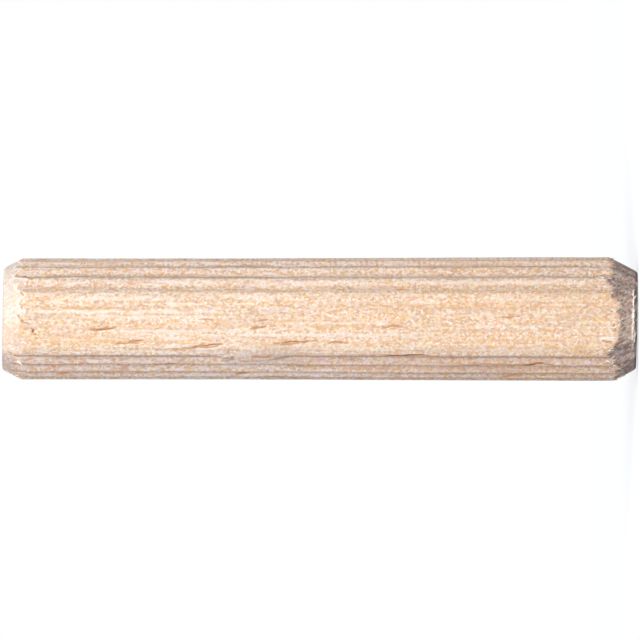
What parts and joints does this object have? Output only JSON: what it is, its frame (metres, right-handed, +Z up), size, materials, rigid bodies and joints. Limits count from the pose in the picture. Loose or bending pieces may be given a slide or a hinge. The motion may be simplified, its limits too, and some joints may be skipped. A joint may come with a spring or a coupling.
{
  "type": "fluted dowel pin",
  "caption": "Round wooden dowel pin with straight flutes pressed along its length and chamfered ends, glued into drilled holes to align and join boards.",
  "frame": {"origin": "centre of the lower end face, the one with the longer chamfer, on which the dowel stands", "axes": "+Z up along the dowel's axis to the other end face, -Y towards the flattened side that the picture looks at, +X towards the top of the picture"},
  "size_m": [0.0078, 0.0077, 0.04],
  "materials": {
    "beech": "raw, unsanded beech with torn grain"
  },
  "bodies": {
    "root": {"dowel": "beech"}
  },
  "joints": []
}
